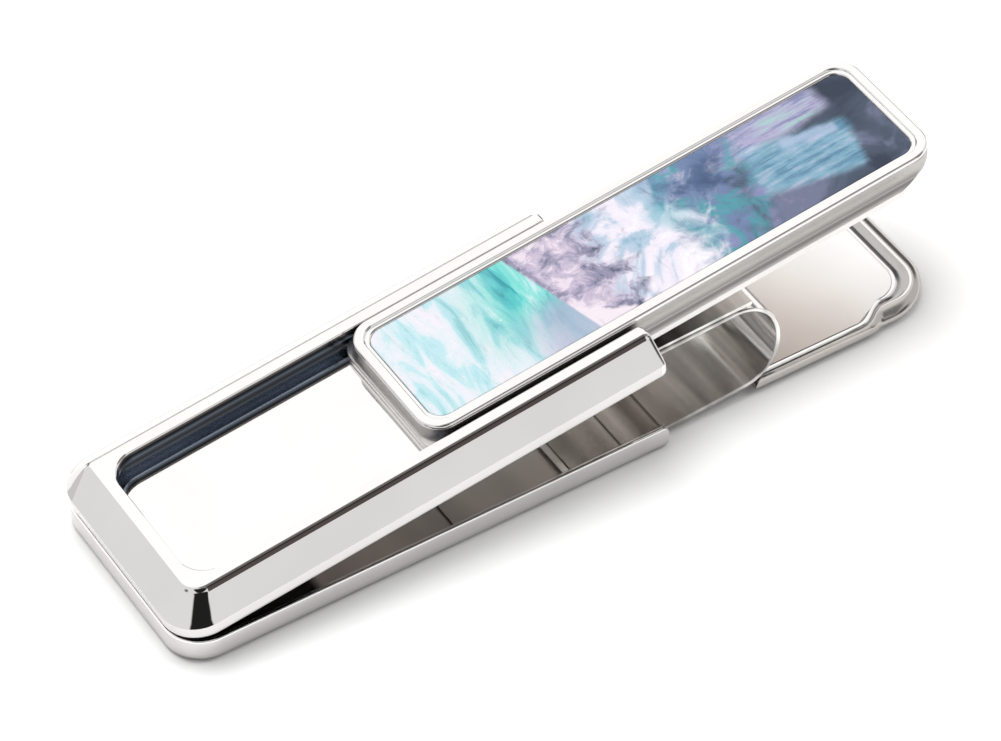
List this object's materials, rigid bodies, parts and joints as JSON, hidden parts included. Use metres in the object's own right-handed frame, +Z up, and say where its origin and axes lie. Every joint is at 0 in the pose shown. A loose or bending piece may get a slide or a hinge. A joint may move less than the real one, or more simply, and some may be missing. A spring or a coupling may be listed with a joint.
{
  "type": "money clip",
  "caption": "Hinged two-frame money clip with a sliding pearl-inlaid arm, a sliding lower jaw and a U-shaped leaf spring.",
  "frame": {"origin": "middle of the bounding box in plan, on the surface the clip stands on", "axes": "+X from the hinged front to the jaw tips, +Y across, +Z up"},
  "size_m": [0.0674, 0.019, 0.0147],
  "materials": {
    "lower_frame": "polished",
    "upper_frame": "polished",
    "floor_plate": "polished",
    "top_slide": "brushed sides",
    "bezel": "polished",
    "inlay": "pearl",
    "guide_post": "dull",
    "spring_steel": "satin",
    "jaw": "polished",
    "jaw_panel": "polished",
    "steel_parts": "satin"
  },
  "bodies": {
    "base": {"lower_frame": "lower_frame", "hinge_pin": "steel_parts"},
    "cover": {"upper_frame": "upper_frame", "floor_plate": "floor_plate"},
    "arm": {"top_slide": "top_slide", "bezel": "bezel", "pearl_inlay": "inlay", "guide_post": "guide_post", "spring_plate": "spring_steel"},
    "jaw": {"jaw_slide": "jaw", "jaw_panel": "jaw_panel", "clamp_plate": "steel_parts", "spring_band": "spring_steel"}
  },
  "joints": [
    {"name": "cover_hinge", "type": "hinge", "parent": "base", "child": "cover", "pos_m": [-0.03158, 0, 0.0022], "axis": [0, 1, 0], "range_deg": [0, 6.18]},
    {"name": "arm_slide", "type": "slide", "parent": "cover", "child": "arm", "axis": [-0.991, 0, -0.1336], "range_m": [0, 0.0196]},
    {"name": "jaw_slide_in", "type": "slide", "parent": "base", "child": "jaw", "axis": [-1, 0, 0], "range_m": [0, 0.0196], "deforming": ["spring_band"]}
  ],
  "couplings": [
    {"joint": "cover_hinge", "follows": "arm_slide", "rad_per_m": 5.5},
    {"joint": "jaw_slide_in", "follows": "arm_slide", "ratio": 1}
  ]
}
